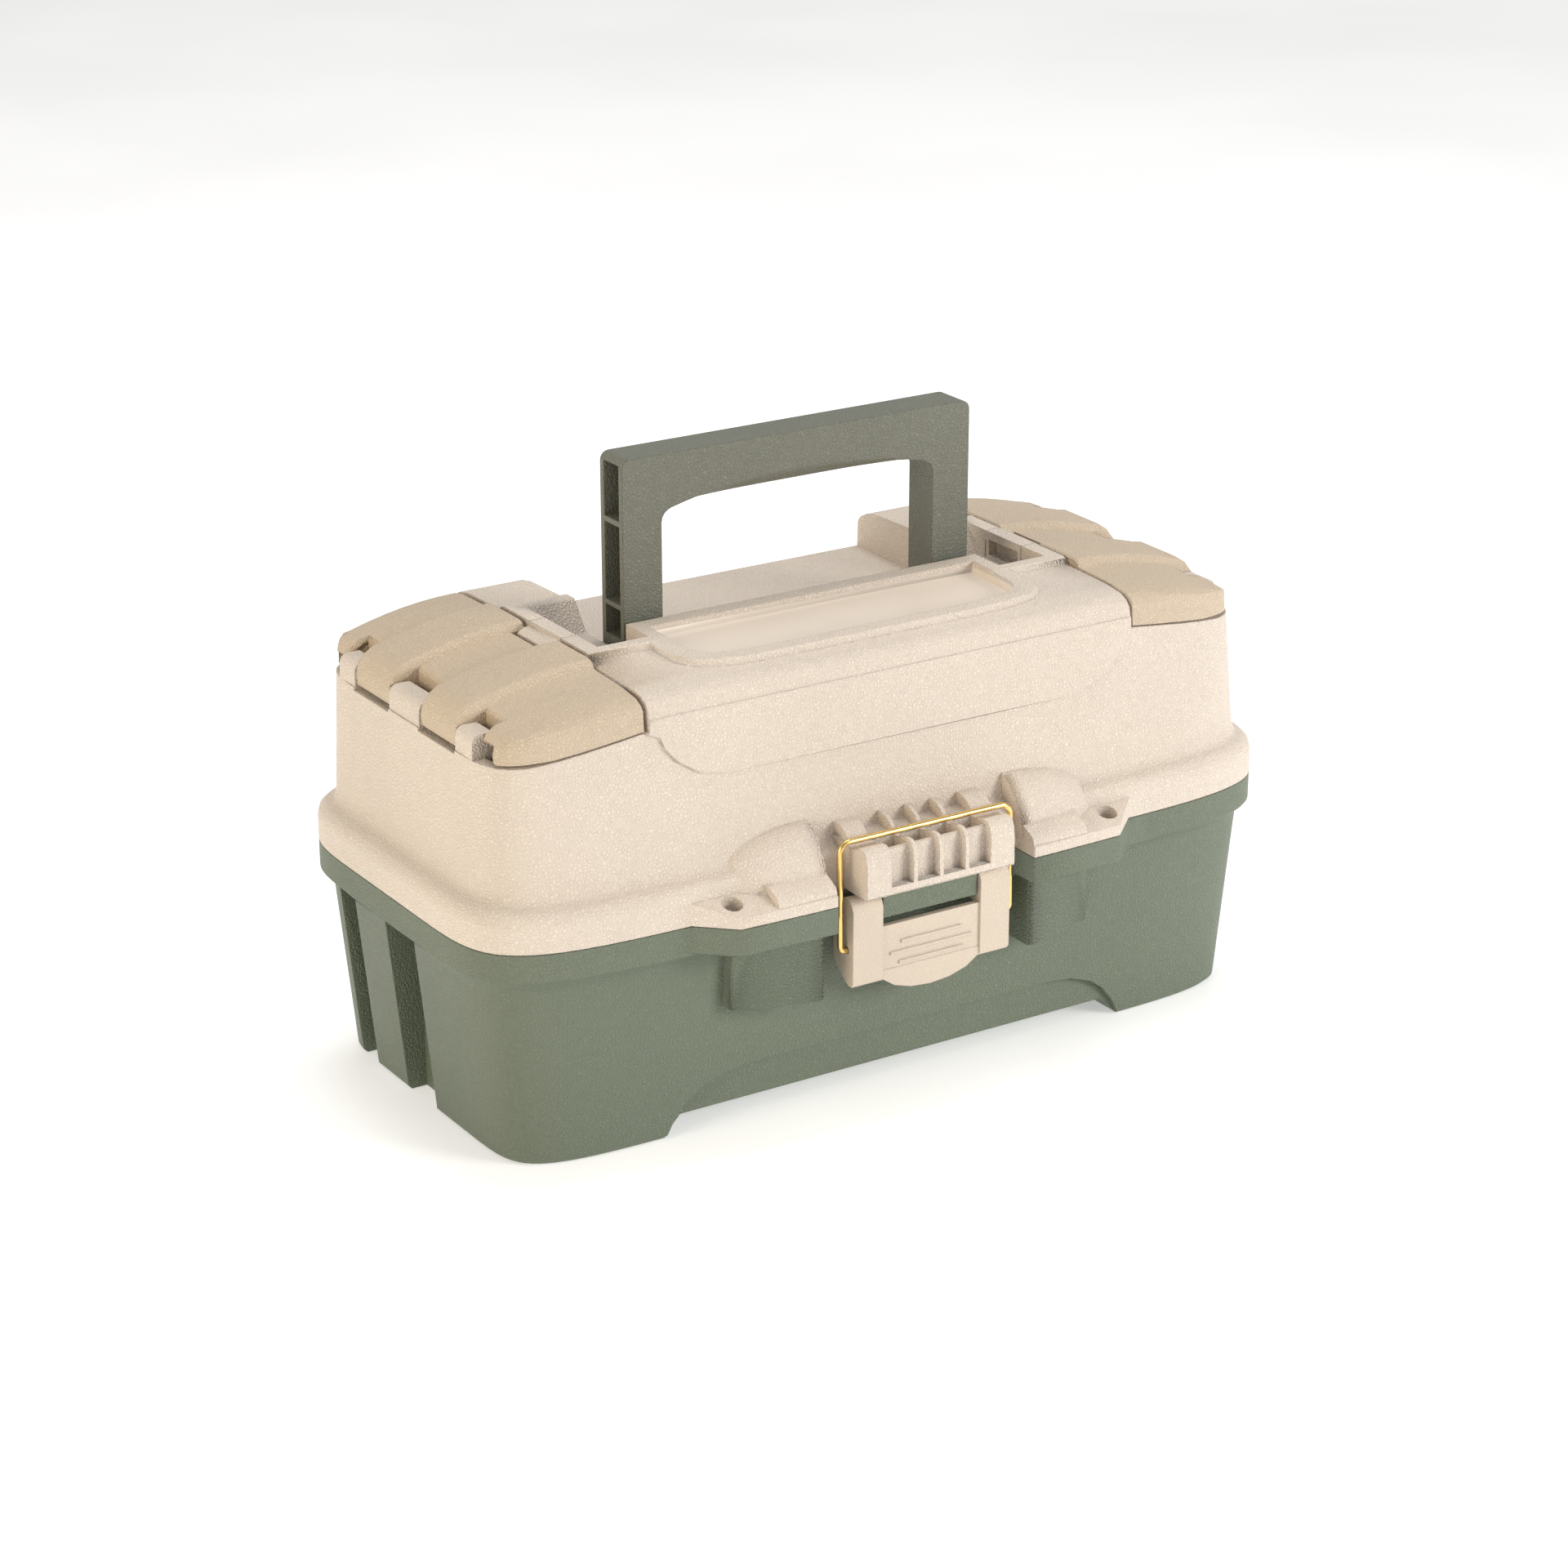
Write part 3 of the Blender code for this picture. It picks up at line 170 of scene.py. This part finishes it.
def leather(g, scale):
    """Height and crease masks of a moulded leather grain."""
    warp = g.add("ShaderNodeTexNoise")
    warp.inputs["Scale"].default_value = 0.42 * scale
    warp.inputs["Detail"].default_value = 2.0
    g.put(g.coordinates, warp.inputs["Vector"])
    shifted = g.add("ShaderNodeVectorMath", operation="MULTIPLY_ADD")
    g.put(warp.outputs["Color"], shifted.inputs[0])
    shifted.inputs[1].default_value = (GRAIN_WARP, GRAIN_WARP, GRAIN_WARP)
    g.put(g.coordinates, shifted.inputs[2])
    moved = shifted.outputs[0]
    creases = g.ramp(g.cells(scale, moved), 0.02, 0.30)
    fine = g.ramp(g.cells(2.3 * scale, moved), 0.0, 0.35)
    swell = g.noise(0.35 * scale, 1.0, 0.5)
    height = g.math("MULTIPLY_ADD", creases, 0.62, g.math("MULTIPLY", fine, 0.22))
    height = g.math("MULTIPLY_ADD", swell, 0.30, height)
    return height, creases


def outside_box(g, low, high):
    """1 outside a box and 0 inside it, from object coordinates."""
    split = g.add("ShaderNodeSeparateXYZ")
    g.put(g.coordinates, split.inputs[0])
    inside = None
    for axis in range(3):
        above = g.math("GREATER_THAN", split.outputs[axis], low[axis])
        below = g.math("LESS_THAN", split.outputs[axis], high[axis])
        both = g.math("MULTIPLY", above, below)
        inside = both if inside is None else g.math("MULTIPLY", inside, both)
    return g.math("SUBTRACT", 1.0, inside)


def moulded_plastic(name, colour, grain=1.0, roughness=0.5, edge=0.0009, mottle=0.06, smooth_zone=None):
    """Moulded plastic with a leather grain, soft edges, faint wear and scuffs.

    smooth_zone is a box (low corner, high corner) in metres that the mould left polished.
    """
    g = Graph(name)
    shader = g.shader
    soft = g.add("ShaderNodeBevel", samples=6)
    soft.inputs["Radius"].default_value = edge
    height, creases = leather(g, GRAIN_CELLS)
    # Mask of the grain creases, used only to paint shade into them
    crease_shade_mask = g.math("SUBTRACT", 1.0, creases)
    if smooth_zone:
        outside = outside_box(g, *smooth_zone)
        height = g.math("MULTIPLY", height, outside)
        crease_shade_mask = g.math("MULTIPLY", crease_shade_mask, outside)
    bump = g.add("ShaderNodeBump")
    bump.inputs["Strength"].default_value = GRAIN_STRENGTH * grain
    bump.inputs["Distance"].default_value = GRAIN_DEPTH
    g.put(height, bump.inputs["Height"])
    g.put(soft.outputs["Normal"], bump.inputs["Normal"])
    g.put(bump.outputs["Normal"], shader.inputs["Normal"])

    # Colour: broad moulding variation, painted shade darkening the grain creases, paler rubbed edges
    broad = g.ramp(g.noise(9.0, 3.0, 0.55), 0.3, 0.7)
    darker = tuple(c * (1.0 - mottle) for c in colour)
    lighter = tuple(min(1.0, c * (1.0 + 0.5 * mottle) + 0.003) for c in colour)
    base = g.mix(broad, darker, lighter)
    # Painted shade: the grain creases are coloured darker, standing in for the shade that falls in them
    painted_crease_shade_colour = tuple(c * 0.82 for c in colour)
    base = g.mix(g.math("MULTIPLY", crease_shade_mask, 0.60 * grain), base, painted_crease_shade_colour)
    geometry = g.add("ShaderNodeNewGeometry")
    dot = g.add("ShaderNodeVectorMath", operation="DOT_PRODUCT")
    g.put(soft.outputs["Normal"], dot.inputs[0])
    g.put(geometry.outputs["Normal"], dot.inputs[1])
    edge_mask = g.ramp(dot.outputs["Value"], 0.995, 0.80)
    scuffs = g.ramp(g.noise(150.0, 4.0, 0.7), 0.42, 0.72)
    worn = g.math("MULTIPLY", g.math("MULTIPLY", edge_mask, scuffs), 0.40)
    pale = tuple(min(1.0, c * 1.20 + 0.02) for c in colour)
    g.put(g.mix(worn, base, pale), shader.inputs["Base Color"])

    rough = g.math("MULTIPLY_ADD", g.noise(55.0, 4.0, 0.6), 0.14, roughness - 0.07)
    rough = g.math("MULTIPLY_ADD", worn, -0.15, rough)
    if smooth_zone:
        rough = g.math("MULTIPLY_ADD", g.math("SUBTRACT", 1.0, outside), -0.16, rough)
    g.put(rough, shader.inputs["Roughness"])
    shader.inputs["Specular IOR Level"].default_value = 0.45
    return g.material


def metal(name, colour, roughness, stretch):
    """Drawn metal: fine lines along the wire or pin, faint tarnish."""
    g = Graph(name)
    shader = g.shader
    mapping = g.add("ShaderNodeMapping")
    g.put(g.coordinates, mapping.inputs["Vector"])
    mapping.inputs["Scale"].default_value = stretch
    lines = g.noise(WIRE_LINES, 3.0, 0.6, mapping.outputs["Vector"])
    tarnish = g.ramp(g.noise(90.0, 4.0, 0.6), 0.45, 0.75)
    dull = tuple(c * 0.72 for c in colour)
    base = g.mix(g.math("MULTIPLY", tarnish, 0.5), colour, dull)
    g.put(base, shader.inputs["Base Color"])
    shader.inputs["Metallic"].default_value = 1.0
    rough = g.math("MULTIPLY_ADD", lines, 0.14, roughness - 0.05)
    g.put(g.math("MULTIPLY_ADD", tarnish, 0.10, rough), shader.inputs["Roughness"])
    bump = g.add("ShaderNodeBump")
    bump.inputs["Strength"].default_value = 0.15
    bump.inputs["Distance"].default_value = 0.0002
    g.put(lines, bump.inputs["Height"])
    g.put(bump.outputs["Normal"], shader.inputs["Normal"])
    return g.material


# -------------------------------------------------------------------- pieces

def copy_of(node, look):
    """A visual piece from a CAD node's mesh, riding on the node's body."""
    source = frame["nodes"][node]
    mesh = source.data.copy()
    mesh.name = "look_" + node
    piece = bpy.data.objects.new("look_" + node, mesh)
    bpy.context.scene.collection.objects.link(piece)
    mesh.materials.clear()
    mesh.materials.append(look)
    weld(mesh)
    mesh.shade_smooth()
    mesh.set_sharp_from_angle(angle=math.radians(SHARP_ANGLES.get(node, SHARP_ANGLE)))
    flatten = piece.modifiers.new("Normals", "WEIGHTED_NORMAL")
    flatten.keep_sharp = True
    flatten.weight = NORMAL_WEIGHT
    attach(piece, source["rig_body"])
    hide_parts(node)
    return piece


def weld(mesh):
    """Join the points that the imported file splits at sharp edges, and merge flat triangles."""
    bm = bmesh.new()
    bm.from_mesh(mesh)
    bmesh.ops.remove_doubles(bm, verts=bm.verts[:], dist=WELD_DISTANCE)
    bmesh.ops.dissolve_degenerate(bm, edges=bm.edges[:], dist=WELD_DISTANCE)
    flat = math.radians(FLAT_DEGREES)
    bmesh.ops.dissolve_limit(bm, angle_limit=flat, verts=bm.verts[:], edges=bm.edges[:])
    bm.to_mesh(mesh)
    bm.free()


def build_pieces():
    looks = {
        "tan_plastic": moulded_plastic("tan_grain", TAN, edge=0.0007, smooth_zone=LABEL_FLOOR),
        "cover_plastic": moulded_plastic("cover_grain", COVER_TAN, edge=0.0005),
        "green_plastic": moulded_plastic("green_grain", GREEN),
        "handle_plastic": moulded_plastic("handle_grain", HANDLE_GREEN, 0.9, 0.42),
        "tray_plastic": moulded_plastic("tray_satin", TRAY_TAN, 0.3, 0.42),
        "brass_wire": metal("brass", BRASS, 0.22, (1.0, 1.0, 0.06)),
        "pin_steel": metal("steel", STEEL, 0.32, (0.06, 1.0, 1.0)),
    }
    for row in frame["record"]["subparts"]:
        look = looks[row["material_slot"]]
        if row["node"] == "latch_lever":
            look = moulded_plastic("lever_grain", LEVER_TAN, 0.45, 0.46, 0.0005)
        copy_of(row["node"], look)


# --------------------------------------------------------------------- stage

def make_floor():
    """A wide, flat, pale floor."""
    bpy.ops.mesh.primitive_plane_add(size=FLOOR_SIZE, location=(0.0, 0.0, FLOOR_Z))
    floor = bpy.context.active_object
    floor.name = "floor"
    g = Graph("floor_paper")
    tone = g.ramp(g.noise(3.0, 2.0, 0.5), 0.3, 0.7)
    pale = g.mix(tone, *FLOOR_TONES)
    g.put(pale, g.shader.inputs["Base Color"])
    g.put(pale, g.shader.inputs["Emission Color"])
    g.shader.inputs["Emission Strength"].default_value = FLOOR_GLOW
    g.shader.inputs["Roughness"].default_value = 0.8
    floor.data.materials.append(g.material)


def area_light(name, place, size, power, colour):
    data = bpy.data.lights.new(name, "AREA")
    data.shape = "RECTANGLE"
    data.size, data.size_y = size
    data.energy = power
    data.color = colour
    lamp = bpy.data.objects.new(name, data)
    bpy.context.scene.collection.objects.link(lamp)
    lamp.location = place
    direction = Vector(LIGHT_TARGET) - Vector(place)
    lamp.rotation_euler = direction.to_track_quat("-Z", "Y").to_euler()


def make_lights():
    world = bpy.data.worlds.new("studio")
    world.use_nodes = True
    bpy.context.scene.world = world
    background = world.node_tree.nodes["Background"]
    background.inputs["Color"].default_value = (1.0, 1.0, 1.0, 1.0)
    background.inputs["Strength"].default_value = WORLD_STRENGTH
    for light in LIGHTS:
        area_light(*light)
    scene = bpy.context.scene
    scene.view_settings.view_transform = "Standard"
    scene.view_settings.look = "None"
    scene.view_settings.exposure = 0.0


def make_camera():
    a, e = math.radians(CAMERA_AZIMUTH), math.radians(CAMERA_ELEVATION)
    back = Vector((math.sin(a) * math.cos(e), -math.cos(a) * math.cos(e), math.sin(e)))
    data = bpy.data.cameras.new("camera")
    data.lens = CAMERA_LENS
    data.sensor_width = 36.0
    camera = bpy.data.objects.new("camera", data)
    bpy.context.scene.collection.objects.link(camera)
    camera.location = CAMERA_PLACE
    camera.rotation_euler = (-back).to_track_quat("-Z", "Y").to_euler()
    bpy.context.scene.camera = camera


build_pieces()
make_floor()
make_lights()
make_camera()
